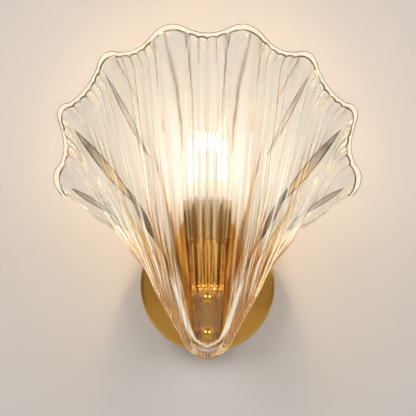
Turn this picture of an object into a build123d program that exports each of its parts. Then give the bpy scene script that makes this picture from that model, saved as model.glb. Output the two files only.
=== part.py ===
"""Shell wall sconce: a thick fluted glass shell held to a brass plate by two ball nuts.

Millimetres, +Z up.  The wall is the plane Y = 0 and the room is towards -Y.
The origin is the middle of the canopy's back, where the fitting meets the wall.
"""

import os
from math import cos, pi, radians, sin, sqrt

from build123d import *

os.makedirs("parts", exist_ok=True)

# ---------------------------------------------------------------- wall side
CANOPY_RADIUS = 60.0          # the round brass cover against the wall
CANOPY_DEPTH = 24.0           # how far it stands off the wall
CANOPY_WALL = 1.5             # spun sheet
CANOPY_EDGE = 3.0             # rounding between its face and its side
SLIDE_GAP = 0.3               # clearance of parts that only have to slip past each other
THREAD_GAP = 0.05             # radial clearance drawn where a thread would be
SCREW_EDGE = 0.7              # chamfer round the screws' heads

BAR_WIDTH = 20.0              # steel crossbar screwed to the wall box
BAR_SHEET = 2.0
BAR_EAR_DEPTH = 15.0          # its bent ends, which take the side screws
BAR_SLOT_CENTRES = 60.0       # the two wall slots, one above the other
BAR_SLOT_LENGTH = 14.0
BAR_SLOT_WIDTH = 4.6
BAR_CABLE_HOLE = 8.0          # radius of the middle hole, for the house wiring

SIDE_SCREW_RADIUS = 2.0       # two screws through the canopy's side, top and bottom
SIDE_SCREW_LENGTH = 7.0
SIDE_SCREW_HEAD = 3.4
SIDE_SCREW_HEAD_THICK = 1.8
SIDE_SCREW_DEPTH = 9.0        # distance of their axes from the wall

EARTH_SCREW_RADIUS = 2.0      # earth screw on the crossbar
EARTH_SCREW_HEAD = 3.8
EARTH_SCREW_HEAD_THICK = 2.2
EARTH_SCREW_HEIGHT = 15.5

TERMINAL_WIDTH = 18.0         # terminal block on the crossbar
TERMINAL_HEIGHT = 12.0
TERMINAL_DEPTH = 12.0
TERMINAL_BELOW = 15.0         # height of its middle below the origin
TERMINAL_SCREW_RADIUS = 1.6
TERMINAL_SCREW_DEEP = 4.0
LEAD_RADIUS = 1.0             # two insulated leads up into the arm
LEAD_SPACING = 4.0
LEAD_BEND = 10.0
LEAD_IN_ARM = 8.0             # how far they are drawn inside the arm

# ---------------------------------------------------------------- glass holder
PLATE_WIDTH = 26.0            # flat brass bar, bent to carry the glass
PLATE_SHEET = 3.0
PLATE_TOP = 3.7
PLATE_HEIGHT = 51.0
PLATE_BOTTOM = PLATE_TOP - PLATE_HEIGHT
PLATE_FRONT = 84.0            # distance of the plate's front from the wall
PLATE_CORNER = 2.0
PLATE_BEND = 2.5              # inside radius of the bends
FLANGE_HEIGHT = 24.0          # its other end, flat on the canopy
FLANGE_SCREW_SPACING = 14.0
FLANGE_SCREW_RADIUS = 2.0
FLANGE_SCREW_HEAD = 3.6
FLANGE_SCREW_HEAD_THICK = 2.4

NUT_SPACING = 30.0            # the two ball nuts, one above the other
NUT_MIDDLE = -22.5            # height of the point halfway between them
STUD_RADIUS = 2.0
STUD_NUT_FLATS = 7.0          # hexagon nuts that lock the studs behind the plate
STUD_NUT_THICK = 3.0
STUD_IN_BALL = 6.0
BALL_RADIUS = 5.3
BALL_SEAT_RADIUS = 3.2        # flat on the back of each ball
BALL_BORE_SPARE = 0.5         # room past the stud's end
RUN_GAP = 0.05                # running clearance of a ball nut on its stud
FRONT_WASHER_RADIUS = 6.8     # clear washer between ball and glass
FRONT_WASHER_THICK = 1.4
FRONT_WASHER_EDGE = 0.5
SLEEVE_WALL = 1.4             # clear sleeve that keeps stud and glass apart
SLEEVE_GAP = 0.1
BACK_PAD_THICK = 1.0          # clear sheet between plate and glass
BACK_PAD_INSET = 1.5          # how far it stays inside the plate's flat front
SEAT_GAP = 0.6                # room round plate and washers in the glass's ground seats

# ---------------------------------------------------------------- glass shell
GLASS_WALL = 6.4
GLASS_WALL_RIM = 6.2
GLASS_SEAT_WALL = 6.0         # glass left between its two ground seats
LOBE_CRESTS = [14.0, 38.7, 64.4, 87.5]    # degrees from the middle, the same on both sides
LOBE_HALVES = [6.8, 5.0, 4.3, 4.9]        # half the width of each lobe, in degrees
FLUTE_PITCH = 3.3             # degrees, about, of the fine flutes between lobes
LOBE_RISE = 7.7               # at the rim, above the lobe's corners
VALLEY_SAG = 6.3              # at the rim, below the lobe's corners
FLUTE_DEPTH = 1.4             # at the rim
LOBES_BEGIN = 0.12            # share of the way up where lobes and flutes begin
LOBES_FULL = 0.6              # share of the way up from where they only grow with the width
LOBE_POWER = 0.3              # how closely the lobes' height follows the width
SIDE_POWER = 0.8              # the same for the outermost lobes
SIDE_FROM = 65.0              # degrees from the middle where the outermost lobes take over
SIDE_FULL = 85.0
FLUTE_POWER = 0.45            # how closely the flutes' depth follows the width
HOLLOW_SHARE = 0.15           # share of the lobes' height that shows on the hollow side low down
HOLLOW_FROM = 0.55            # share of the way up from where the hollow side follows the lobes more
HOLLOW_FULL = 0.97            # and where both sides are parallel
LOW_SPREAD = 0.33             # widens the middle flutes low down
LOW_SQUARE = 0.3              # squares the section low down, for a flat front; 1 is an ellipse
RIM_SQUARE = 0.88             # squares the rim as seen from the front
RIM_TUCK = 0.077              # draws in the outermost lobes at the rim
RIM_TUCK_FROM = 65.0          # degrees from the middle where that begins
RIM_TUCK_FULL = 90.0
RIM_SLANT = 0.3               # turns the rim's end towards the room, as a share of the wall

# Eleven stations from the foot to the rim.  Each is a half ellipse through a point on the
# middle line and one on the shell's side edge.  Rises are above the foot's lowest point.
SEAT_DEPTH = PLATE_FRONT + BACK_PAD_THICK           # where the glass's back rests
PAD_DEPTH = SEAT_DEPTH + GLASS_SEAT_WALL / 2
FOOT_DROP = 12.2              # the foot's lowest point below the plate
FOOT_HEIGHT = PLATE_BOTTOM - FOOT_DROP
MIDDLE_FORWARD = [-40, -17.2, -2.2, 0, 0, 0.5, 1.5, 4, 9.5, 21, 43]     # past the plate's seat
MIDDLE_RISE = [0.3, 0.3, 4.5, 15, 41, 79, 124, 175, 226, 258.7, 274.6]
SIDE_WIDTH = [14, 17.3, 23.6, 30.5, 41.2, 53.2, 69.3, 85.5, 104.5, 119.6, 131.9]
SIDE_DEPTH = [47, 46, 45, 44, 43, 43, 45, 49, 55, 66, 86]
SIDE_RISE = [9.5, 19, 32.1, 48, 64.7, 81.9, 97.6, 111.5, 123.8, 135.6, 143.3]
ROWS = 10                     # rows of glass lofted between foot and rim

# ---------------------------------------------------------------- lamp
LAMP_DEPTH = 50.0             # distance of the bulb's axis from the wall
ARM_RADIUS = 5.0              # brass tube from the canopy up into the cup
ARM_WALL = 1.0
ARM_HEIGHT = 17.0             # where it leaves the canopy
ARM_BEND = 12.0
ARM_INSIDE = 9.0              # length of its threaded end inside the canopy
COLLAR_RADIUS = 9.0
COLLAR_THICK = 3.0
COLLAR_EDGE = 1.2
LOCKNUT_FLATS = 16.0
LOCKNUT_THICK = 3.0
CUP_BOTTOM = 41.0             # height of the cup's underside
CUP_HEIGHT = 35.0
CUP_RADIUS = 20.0             # at its mouth
CUP_BASE_RADIUS = 17.0
CUP_CORNER = 3.0
CUP_WALL = 1.2
HOLDER_RADIUS = 13.5
HOLDER_HEIGHT = 31.0
HOLDER_FLOOR = 9.0
HOLDER_THREAD = 7.0           # how far the arm screws into it
HOLDER_WIRE_HOLE = 3.0
CONTACT_WALL = 0.6            # brass sleeve that the bulb's cap screws into
CONTACT_DISC_RADIUS = 5.0
CONTACT_DISC_THICK = 1.2
BULB_CAP_RADIUS = 7.0         # small screw cap
BULB_CAP_LENGTH = 21.0
BULB_CAP_TAPER = 1.5          # chamfer at the cap's lower end
BULB_TIP_RADIUS = 3.0
BULB_TIP_LENGTH = 1.8
BULB_COLLAR = 9.5             # radius of the glass's neck
BULB_COLLAR_LENGTH = 3.0
BULB_RADIUS = 17.5
BULB_HEIGHT = 74.0            # glass, from the cap to its tip
BULB_WALL = 0.9
STEM_RADIUS = 2.6
STEM_HEIGHT = 14.0
STEM_ROD = 0.8
SPIDER_THICK = 0.8
FILAMENTS = 4
FILAMENT_RADIUS = 1.0
FILAMENT_LENGTH = 34.0
FILAMENT_CIRCLE = 4.6


def node(shape, name):
    """Write one named piece."""
    export_step(shape, f"parts/{name}.step")
    print(f"{name}: {len(shape.solids())} solid(s), {shape.volume:.1f} mm3")


def rod(radius, start, end):
    """A round bar between two points."""
    axis = Vector(end) - Vector(start)
    return Plane(origin=Vector(start), z_dir=axis) * extrude(Circle(radius), axis.length)


def ring(outer, inner, start, end):
    """A round bar with a bore."""
    return rod(outer, start, end) - rod(inner, start, end)


def block(x, y, z):
    """A box between three pairs of limits."""
    size = [b - a for a, b in (x, y, z)]
    return Pos(*((a + b) / 2 for a, b in (x, y, z))) * Box(*size)


def hex_nut(flats, bore, start, end):
    """A hexagon nut between two points on its axis."""
    axis = Vector(end) - Vector(start)
    body = extrude(RegularPolygon(flats / 2, 6, major_radius=False), axis.length)
    return Plane(origin=Vector(start), z_dir=axis) * body - rod(bore, start, end)


# ---------------------------------------------------------------- wall side
def crossbar():
    """Steel strap with two wall slots and bent ears for the canopy's screws."""
    reach = sqrt((CANOPY_RADIUS - CANOPY_WALL - SLIDE_GAP) ** 2 - (BAR_WIDTH / 2) ** 2)
    half = BAR_WIDTH / 2
    bar = block((-half, half), (-BAR_EAR_DEPTH, 0), (-reach, reach))
    bar -= block((-half, half), (-BAR_EAR_DEPTH, -BAR_SHEET), (BAR_SHEET - reach, reach - BAR_SHEET))
    slot = SlotOverall(BAR_SLOT_LENGTH, BAR_SLOT_WIDTH, rotation=90)
    face = Plane(origin=(0, 0, 0), x_dir=(1, 0, 0), z_dir=(0, -1, 0))
    for z in (-BAR_SLOT_CENTRES / 2, BAR_SLOT_CENTRES / 2):
        bar -= Pos(0, 0, z) * (face * extrude(slot, BAR_SHEET))
    bar -= rod(BAR_CABLE_HOLE, (0, 0, 0), (0, -BAR_SHEET, 0))
    bar -= rod(EARTH_SCREW_RADIUS + THREAD_GAP, (0, 0, EARTH_SCREW_HEIGHT), (0, -BAR_SHEET, EARTH_SCREW_HEIGHT))
    screw_line = rod(SIDE_SCREW_RADIUS + THREAD_GAP, (0, -SIDE_SCREW_DEPTH, -reach), (0, -SIDE_SCREW_DEPTH, reach))
    return bar - screw_line


def canopy():
    """Spun brass cover with its holes."""
    body = rod(CANOPY_RADIUS, (0, 0, 0), (0, -CANOPY_DEPTH, 0))
    body = fillet(body.edges().filter_by(GeomType.CIRCLE).sort_by(Axis.Y)[0], CANOPY_EDGE)
    hollow = rod(CANOPY_RADIUS - CANOPY_WALL, (0, 0, 0), (0, CANOPY_WALL - CANOPY_DEPTH, 0))
    hollow = fillet(hollow.edges().filter_by(GeomType.CIRCLE).sort_by(Axis.Y)[0], CANOPY_EDGE - CANOPY_WALL)
    body -= hollow
    body -= rod(ARM_RADIUS + SLIDE_GAP, (0, 0, ARM_HEIGHT), (0, -CANOPY_DEPTH, ARM_HEIGHT))
    for x in (-FLANGE_SCREW_SPACING / 2, FLANGE_SCREW_SPACING / 2):
        z = flange_screw_height()
        body -= rod(FLANGE_SCREW_RADIUS + SLIDE_GAP, (x, 0, z), (x, -CANOPY_DEPTH, z))
    side = CANOPY_RADIUS + SIDE_SCREW_HEAD
    return body - rod(
        SIDE_SCREW_RADIUS + SLIDE_GAP, (0, -SIDE_SCREW_DEPTH, -side), (0, -SIDE_SCREW_DEPTH, side))


def canopy_side_screws():
    """Two pan-head screws through the canopy's side into the crossbar's ears."""
    screws = []
    for up in (-1, 1):
        seat = Vector(0, -SIDE_SCREW_DEPTH, up * CANOPY_RADIUS)
        inward = Vector(0, 0, -up)
        head = rod(SIDE_SCREW_HEAD, seat - inward * SIDE_SCREW_HEAD_THICK, seat)
        head = chamfer(head.edges().filter_by(GeomType.CIRCLE).sort_by(Axis.Z)[-1 if up > 0 else 0], SCREW_EDGE)
        screws.append(head + rod(SIDE_SCREW_RADIUS, seat, seat + inward * SIDE_SCREW_LENGTH))
    return Compound(screws)


def earth_screw():
    """Pan-head earth screw in the crossbar."""
    seat = (0, -BAR_SHEET, EARTH_SCREW_HEIGHT)
    top = (0, -BAR_SHEET - EARTH_SCREW_HEAD_THICK, EARTH_SCREW_HEIGHT)
    head = rod(EARTH_SCREW_HEAD, seat, top)
    head = chamfer(head.edges().filter_by(GeomType.CIRCLE).sort_by(Axis.Y)[0], SCREW_EDGE)
    return head + rod(EARTH_SCREW_RADIUS, (0, 0, EARTH_SCREW_HEIGHT), seat)


def terminal_block():
    """Moulded block with two screw wells."""
    half = TERMINAL_WIDTH / 2
    low = -TERMINAL_BELOW - TERMINAL_HEIGHT / 2
    high = low + TERMINAL_HEIGHT
    front = -BAR_SHEET - TERMINAL_DEPTH
    body = block((-half, half), (front, -BAR_SHEET), (low, high))
    for x in (-LEAD_SPACING, LEAD_SPACING):
        well = (x, front, -TERMINAL_BELOW)
        body -= rod(TERMINAL_SCREW_RADIUS, well, (x, front + TERMINAL_SCREW_DEEP, -TERMINAL_BELOW))
    return body


def lead_depth():
    """Distance of the leads from the wall where they leave the terminal block."""
    return BAR_SHEET + TERMINAL_DEPTH / 2


def lamp_leads():
    """Two insulated leads from the terminal block into the arm."""
    start_z = -TERMINAL_BELOW + TERMINAL_HEIGHT / 2
    end_depth = CANOPY_DEPTH - CANOPY_WALL - ARM_INSIDE + LEAD_IN_ARM
    leads = []
    for x in (-LEAD_SPACING / 2, LEAD_SPACING / 2):
        corner = (x, -lead_depth(), ARM_HEIGHT)
        points = [(x, -lead_depth(), start_z), corner, (x, -end_depth, ARM_HEIGHT)]
        path = FilletPolyline(*points, radius=LEAD_BEND)
        leads.append(sweep(Plane(origin=points[0], z_dir=(0, 0, 1)) * Circle(LEAD_RADIUS), path))
    return Compound([s for lead in leads for s in lead.solids()])


# ---------------------------------------------------------------- glass holder
def flange_screw_height():
    """Height of the two screws that hold the bent bar to the canopy."""
    return PLATE_TOP - FLANGE_HEIGHT / 2 - PLATE_BEND


def nut_heights():
    """Heights of the lower and the upper ball nut."""
    return NUT_MIDDLE - NUT_SPACING / 2, NUT_MIDDLE + NUT_SPACING / 2


def glass_bracket():
    """Flat brass bar bent twice: flange on the canopy, leg, and plate behind the glass."""
    half = PLATE_WIDTH / 2
    back = -CANOPY_DEPTH
    front = -PLATE_FRONT
    bar = block((-half, half), (front, back), (PLATE_BOTTOM, PLATE_TOP))
    outer = [e for e in bar.edges().filter_by(Axis.X) if e.center().Z > PLATE_TOP - 0.1]
    bar = fillet(outer, PLATE_BEND + PLATE_SHEET)
    gap = block((-half, half), (front + PLATE_SHEET, back - PLATE_SHEET), (PLATE_BOTTOM, PLATE_TOP - PLATE_SHEET))
    inner = [e for e in gap.edges().filter_by(Axis.X) if e.center().Z > PLATE_TOP - PLATE_SHEET - 0.1]
    bar -= fillet(inner, PLATE_BEND)
    bar -= block((-half, half), (back - PLATE_SHEET, back), (PLATE_BOTTOM, PLATE_TOP - FLANGE_HEIGHT))
    corners = [e for e in bar.edges().filter_by(Axis.Y)
               if e.center().Z < PLATE_TOP - FLANGE_HEIGHT + 0.1]
    bar = fillet(corners, PLATE_CORNER)
    for z in nut_heights():
        bar -= rod(STUD_RADIUS + THREAD_GAP, (0, front, z), (0, front + PLATE_SHEET, z))
    z = flange_screw_height()
    for x in (-FLANGE_SCREW_SPACING / 2, FLANGE_SCREW_SPACING / 2):
        bar -= rod(FLANGE_SCREW_RADIUS + THREAD_GAP, (x, back, z), (x, back - PLATE_SHEET, z))
    return bar


def flange_screws():
    """Two screws from inside the canopy into the bracket's flange."""
    screws = []
    inside = -CANOPY_DEPTH + CANOPY_WALL
    z = flange_screw_height()
    for x in (-FLANGE_SCREW_SPACING / 2, FLANGE_SCREW_SPACING / 2):
        head = rod(FLANGE_SCREW_HEAD, (x, inside, z), (x, inside + FLANGE_SCREW_HEAD_THICK, z))
        head = chamfer(head.edges().filter_by(GeomType.CIRCLE).sort_by(Axis.Y)[-1], SCREW_EDGE)
        screws.append(head + rod(FLANGE_SCREW_RADIUS, (x, inside, z), (x, -CANOPY_DEPTH - PLATE_SHEET, z)))
    return Compound(screws)


def washer_front():
    """Distance of the front washers' outer faces from the wall."""
    return SEAT_DEPTH + GLASS_SEAT_WALL + FRONT_WASHER_THICK


def glass_studs():
    """Two threaded studs through plate, pad and glass."""
    back = STUD_NUT_THICK + PLATE_SHEET - PLATE_FRONT
    return Compound([rod(STUD_RADIUS, (0, back, z), (0, -washer_front() - STUD_IN_BALL, z)) for z in nut_heights()])


def stud_nuts():
    """Hexagon nuts that lock the studs behind the plate."""
    back = PLATE_SHEET - PLATE_FRONT
    bore = STUD_RADIUS + THREAD_GAP
    return Compound([hex_nut(STUD_NUT_FLATS, bore, (0, back, z), (0, back + STUD_NUT_THICK, z)) for z in nut_heights()])


def back_pad():
    """Clear sheet between the plate and the glass."""
    half = PLATE_WIDTH / 2 - BACK_PAD_INSET
    top = PLATE_TOP - PLATE_BEND - PLATE_SHEET - BACK_PAD_INSET
    pad = block((-half, half), (-SEAT_DEPTH, -PLATE_FRONT), (PLATE_BOTTOM + BACK_PAD_INSET, top))
    for z in nut_heights():
        pad -= rod(STUD_RADIUS + SLEEVE_GAP, (0, -PLATE_FRONT, z), (0, -SEAT_DEPTH, z))
    return pad


def glass_sleeves():
    """Clear sleeves on the studs, inside the glass."""
    inner = STUD_RADIUS + SLEEVE_GAP
    sleeves = [ring(inner + SLEEVE_WALL, inner, (0, -SEAT_DEPTH, z), (0, -SEAT_DEPTH - GLASS_SEAT_WALL, z))
               for z in nut_heights()]
    return Compound(sleeves)


def front_washers():
    """Clear washers between the ball nuts and the glass."""
    back = -SEAT_DEPTH - GLASS_SEAT_WALL
    washers = []
    for z in nut_heights():
        washer = ring(FRONT_WASHER_RADIUS, STUD_RADIUS + SLEEVE_GAP, (0, back, z), (0, -washer_front(), z))
        rim = washer.edges().filter_by(GeomType.CIRCLE).group_by(Axis.Y)[0].sort_by(SortBy.RADIUS)[-1]
        washers.append(chamfer(rim, FRONT_WASHER_EDGE))
    return Compound(washers)


def ball_nut(z):
    """Polished ball with a flat seat and a blind bore."""
    seat = -washer_front()
    middle = seat - sqrt(BALL_RADIUS ** 2 - BALL_SEAT_RADIUS ** 2)
    ball = Pos(0, middle, z) * Sphere(BALL_RADIUS)
    ball -= block((-BALL_RADIUS, BALL_RADIUS), (seat, seat + BALL_RADIUS), (z - BALL_RADIUS, z + BALL_RADIUS))
    return ball - rod(STUD_RADIUS + RUN_GAP, (0, seat, z), (0, seat - STUD_IN_BALL - BALL_BORE_SPARE, z))


# ---------------------------------------------------------------- the glass
def along(values, t):
    """Smooth curve through evenly spaced values, at t from 0 to 1."""
    last = len(values) - 1
    place = min(max(t, 0.0), 1.0) * last
    i = min(int(place), last - 1)
    u = place - i
    before = values[i - 1] if i > 0 else 2 * values[0] - values[1]
    after = values[i + 2] if i + 2 <= last else 2 * values[last] - values[last - 1]
    slope_a = (values[i + 1] - before) / 2
    slope_b = (after - values[i]) / 2
    rise = values[i + 1] - values[i]
    return (values[i] + u * slope_a
            + u * u * (3 * rise - 2 * slope_a - slope_b)
            + u ** 3 * (slope_a + slope_b - 2 * rise))


def fade(value, low, high):
    """0 below low, 1 above high, smooth between."""
    u = min(max((value - low) / (high - low), 0.0), 1.0)
    return u * u * (3 - 2 * u)


def middle_surface(angle, t):
    """A point halfway through the glass: angle across the fan in degrees, t from foot to rim."""
    a = radians(angle)
    a += LOW_SPREAD * (1 - fade(t, 0.25, 1.0)) * sin(2 * a)
    width = along(SIDE_WIDTH, t) * (1 - RIM_TUCK * fade(abs(angle), RIM_TUCK_FROM, RIM_TUCK_FULL) * t)
    flat_front = forward = cos(a)
    if forward > 0:
        flat_front = forward ** (LOW_SQUARE + (1 - LOW_SQUARE) * fade(t, 0.3, 0.8))
        forward **= 1 + (RIM_SQUARE - 1) * fade(t, 0.6, 1.0)
    side_depth = along(SIDE_DEPTH, t)
    side_height = FOOT_HEIGHT + along(SIDE_RISE, t)
    depth = side_depth + (PAD_DEPTH + along(MIDDLE_FORWARD, t) - side_depth) * flat_front
    height = side_height + (FOOT_HEIGHT + along(MIDDLE_RISE, t) - side_height) * forward
    return Vector(width * sin(a), -depth, height)


def directions(angle, t):
    """The middle surface's unit normal on its hollow side, and the unit vector towards the rim."""
    step = 0.002
    across = middle_surface(angle + 0.2, t) - middle_surface(angle - 0.2, t)
    up = middle_surface(angle, min(t + step, 1.0)) - middle_surface(angle, max(t - step, 0.0))
    return up.cross(across).normalized(), up.normalized()


def ribs():
    """(first angle, last angle, number of flutes) of each lobe and valley; a lobe has none."""
    lobes = sorted([(crest, half) for crest, half in zip(LOBE_CRESTS, LOBE_HALVES)]
                   + [(-crest, half) for crest, half in zip(LOBE_CRESTS, LOBE_HALVES)])
    spans = []
    for (crest, half), following in zip(lobes, lobes[1:] + [None]):
        spans.append((crest - half, crest + half, 0))
        if following:
            start, end = crest + half, following[0] - following[1]
            spans.append((start, end, round((end - start) / FLUTE_PITCH)))
    return spans


def corrugation(angle, rib):
    """At one angle of a rib: its height at the rim, and how deep the flute bites."""
    start, end, flutes = rib
    u = (2 * angle - start - end) / (end - start)
    bump = max(0.0, 1 - u * u)
    if flutes:
        return -VALLEY_SAG * bump, FLUTE_DEPTH * abs(sin(pi * flutes * (u + 1) / 2))
    return LOBE_RISE * bump, 0.0


def glass_skin(angle, rib, t, side):
    """A point on the room side (-1) or the hollow side (+1) of the glass."""
    wave, flute = corrugation(angle, rib)
    width = along(SIDE_WIDTH, t) / SIDE_WIDTH[-1]
    wall = GLASS_WALL + (GLASS_WALL_RIM - GLASS_WALL) * t
    if side > 0:
        wave *= HOLLOW_SHARE + (1 - HOLLOW_SHARE) * fade(t, HOLLOW_FROM, HOLLOW_FULL)
    power = LOBE_POWER + (SIDE_POWER - LOBE_POWER) * fade(abs(angle), SIDE_FROM, SIDE_FULL)
    offset = wave * fade(t, LOBES_BEGIN, LOBES_FULL) * width ** power + side * wall / 2
    if side < 0:
        offset += flute * fade(t, LOBES_BEGIN, 2 * LOBES_BEGIN) * width ** FLUTE_POWER
    normal, up = directions(angle, t)
    point = middle_surface(angle, t) + normal * offset
    if side > 0:
        point += up * (RIM_SLANT * wall * fade(t, 0.9, 1.0))
    return point


def arcs():
    """(rib, first angle, last angle) of each lobe and each flute across the fan."""
    spans = []
    for rib in ribs():
        start, end, flutes = rib
        count = flutes or 1
        spans += [(rib, start + (end - start) * i / count, start + (end - start) * (i + 1) / count)
                  for i in range(count)]
    return spans


def glass_blank():
    """The fluted shell before grinding: two lofted skins and the edges that close them."""
    spans = arcs()
    stations = [i / ROWS for i in range(ROWS + 1)]

    def skin_wire(t, side):
        return Wire([Edge.make_three_point_arc(*(glass_skin(x, rib, t, side) for x in (a, (a + b) / 2, b)))
                     for rib, a, b in spans])

    faces = []
    for side in (-1, 1):
        faces += Shell.make_loft([skin_wire(t, side) for t in stations], ruled=True).faces()
    for t in (0.0, 1.0):
        faces += Face.make_surface_from_curves(skin_wire(t, -1), skin_wire(t, 1)).faces()
    for rib, angle in ((spans[0][0], spans[0][1]), (spans[-1][0], spans[-1][2])):
        for low, high in zip(stations, stations[1:]):
            edges = [Edge.make_line(glass_skin(angle, rib, low, side), glass_skin(angle, rib, high, side))
                     for side in (-1, 1)]
            faces.append(Face.make_surface_from_curves(*edges))
    return Solid(Shell(faces))


def shell_glass():
    """The fluted shell with its flat seats and its two holes."""
    glass = glass_blank()
    half = PLATE_WIDTH / 2 + SEAT_GAP
    glass -= block((-half, half), (-SEAT_DEPTH, -LAMP_DEPTH), (PLATE_BOTTOM - SEAT_GAP, PLATE_TOP + SEAT_GAP))
    front = -SEAT_DEPTH - GLASS_SEAT_WALL
    for z in nut_heights():
        glass -= rod(FRONT_WASHER_RADIUS + SEAT_GAP, (0, front, z), (0, front - GLASS_WALL, z))
        hole = STUD_RADIUS + 2 * SLEEVE_GAP + SLEEVE_WALL
        glass -= rod(hole, (0, -PLATE_FRONT, z), (0, front - GLASS_WALL, z))
    return glass


# ---------------------------------------------------------------- lamp
def arm_top():
    """Height of the arm's upper end, inside the lamp holder."""
    return CUP_BOTTOM + CUP_WALL + HOLDER_THREAD


def arm_tube():
    """Brass tube from inside the canopy, forward and up into the lamp holder."""
    start = (0, -(CANOPY_DEPTH - CANOPY_WALL - ARM_INSIDE), ARM_HEIGHT)
    path = FilletPolyline(start, (0, -LAMP_DEPTH, ARM_HEIGHT), (0, -LAMP_DEPTH, arm_top()), radius=ARM_BEND)
    profile = Plane(origin=start, z_dir=(0, -1, 0)) * (Circle(ARM_RADIUS) - Circle(ARM_RADIUS - ARM_WALL))
    return sweep(profile, path)


def arm_collar():
    """Turned collar where the arm leaves the canopy."""
    body = ring(COLLAR_RADIUS, ARM_RADIUS + THREAD_GAP, (0, -CANOPY_DEPTH, ARM_HEIGHT),
                (0, -CANOPY_DEPTH - COLLAR_THICK, ARM_HEIGHT))
    rim = body.edges().filter_by(GeomType.CIRCLE).group_by(Axis.Y)[0].sort_by(SortBy.RADIUS)[-1]
    return chamfer(rim, COLLAR_EDGE)


def arm_locknut():
    """Hexagon nut on the arm inside the canopy."""
    inside = -CANOPY_DEPTH + CANOPY_WALL
    return hex_nut(LOCKNUT_FLATS, ARM_RADIUS + THREAD_GAP, (0, inside, ARM_HEIGHT),
                   (0, inside + LOCKNUT_THICK, ARM_HEIGHT))


def cup_collar():
    """Turned collar under the cup."""
    body = ring(COLLAR_RADIUS, ARM_RADIUS + THREAD_GAP, (0, -LAMP_DEPTH, CUP_BOTTOM),
                (0, -LAMP_DEPTH, CUP_BOTTOM - COLLAR_THICK))
    rim = body.edges().filter_by(GeomType.CIRCLE).group_by(Axis.Z)[0].sort_by(SortBy.RADIUS)[-1]
    return chamfer(rim, COLLAR_EDGE)


def lamp_cup():
    """Spun brass cup round the lamp holder."""
    outer = Polyline((0, 0), (CUP_BASE_RADIUS, 0), (CUP_RADIUS, CUP_HEIGHT), (0, CUP_HEIGHT), close=True)
    inner = Polyline((0, CUP_WALL), (CUP_BASE_RADIUS - CUP_WALL, CUP_WALL), (CUP_RADIUS - CUP_WALL, CUP_HEIGHT),
                     (0, CUP_HEIGHT), close=True)

    def turned(outline, corner):
        solid = revolve(Plane.XZ * make_face(outline), Axis.Z)
        return fillet(solid.edges().filter_by(GeomType.CIRCLE).sort_by(Axis.Z)[0], corner)

    cup = turned(outer, CUP_CORNER) - turned(inner, CUP_CORNER - CUP_WALL)
    return Pos(0, -LAMP_DEPTH, CUP_BOTTOM) * cup - rod(
        ARM_RADIUS + THREAD_GAP, (0, -LAMP_DEPTH, CUP_BOTTOM), (0, -LAMP_DEPTH, CUP_BOTTOM + CUP_WALL))


def holder_base():
    """Height of the lamp holder's underside."""
    return CUP_BOTTOM + CUP_WALL


def contact_radius():
    """Inner radius of the brass sleeve in the lamp holder."""
    return BULB_CAP_RADIUS + RUN_GAP


def lamp_holder():
    """Moulded lamp holder, screwed on the arm."""
    low = holder_base()
    top = low + HOLDER_HEIGHT
    body = rod(HOLDER_RADIUS, (0, -LAMP_DEPTH, low), (0, -LAMP_DEPTH, top))
    bore = contact_radius() + CONTACT_WALL + THREAD_GAP
    body -= rod(bore, (0, -LAMP_DEPTH, low + HOLDER_FLOOR), (0, -LAMP_DEPTH, top))
    body -= rod(HOLDER_WIRE_HOLE, (0, -LAMP_DEPTH, low), (0, -LAMP_DEPTH, top))
    return body - rod(ARM_RADIUS + THREAD_GAP, (0, -LAMP_DEPTH, low), (0, -LAMP_DEPTH, arm_top()))


def holder_sleeve():
    """Brass sleeve that takes the bulb's screw cap."""
    low = holder_base() + HOLDER_FLOOR
    return ring(contact_radius() + CONTACT_WALL, contact_radius(), (0, -LAMP_DEPTH, low),
                (0, -LAMP_DEPTH, holder_base() + HOLDER_HEIGHT))


def holder_contact():
    """Brass contact on the holder's floor."""
    low = holder_base() + HOLDER_FLOOR
    return rod(CONTACT_DISC_RADIUS, (0, -LAMP_DEPTH, low), (0, -LAMP_DEPTH, low + CONTACT_DISC_THICK))


def cap_base():
    """Height of the lower end of the bulb's cap."""
    return holder_base() + HOLDER_FLOOR + CONTACT_DISC_THICK + SLIDE_GAP + BULB_TIP_LENGTH


def bulb_cap():
    """Screw cap of the bulb with its collar."""
    low = cap_base()
    top = low + BULB_CAP_LENGTH
    cap = rod(BULB_CAP_RADIUS, (0, -LAMP_DEPTH, low), (0, -LAMP_DEPTH, top))
    cap = chamfer(cap.edges().filter_by(GeomType.CIRCLE).sort_by(Axis.Z)[0], BULB_CAP_TAPER)
    return cap + rod(BULB_COLLAR, (0, -LAMP_DEPTH, top), (0, -LAMP_DEPTH, top + BULB_COLLAR_LENGTH))


def bulb_tip():
    """Centre contact of the bulb."""
    low = cap_base() - BULB_TIP_LENGTH
    return rod(BULB_TIP_RADIUS, (0, -LAMP_DEPTH, low), (0, -LAMP_DEPTH, cap_base()))


def glass_foot():
    """Height at which the bulb's glass starts."""
    return cap_base() + BULB_CAP_LENGTH + BULB_COLLAR_LENGTH


def candle(wall):
    """Candle-shaped body of turning, inset by a wall."""
    h = BULB_HEIGHT
    side = Spline((BULB_COLLAR - wall, 0), (BULB_RADIUS * 0.86 - wall, h * 0.2), (BULB_RADIUS - wall, h * 0.4),
                  (BULB_RADIUS * 0.8 - wall, h * 0.68), (BULB_RADIUS * 0.34 - wall, h * 0.91), (0, h - wall),
                  tangents=((0.35, 1), (-0.75, 0.5)))
    outline = [side, Line((0, h - wall), (0, 0)), Line((0, 0), (BULB_COLLAR - wall, 0))]
    return revolve(Plane.XZ * make_face(outline), Axis.Z)


def bulb_glass():
    """Clear candle envelope, open at its neck."""
    return Pos(0, -LAMP_DEPTH, glass_foot()) * (candle(0) - candle(BULB_WALL))


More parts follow.
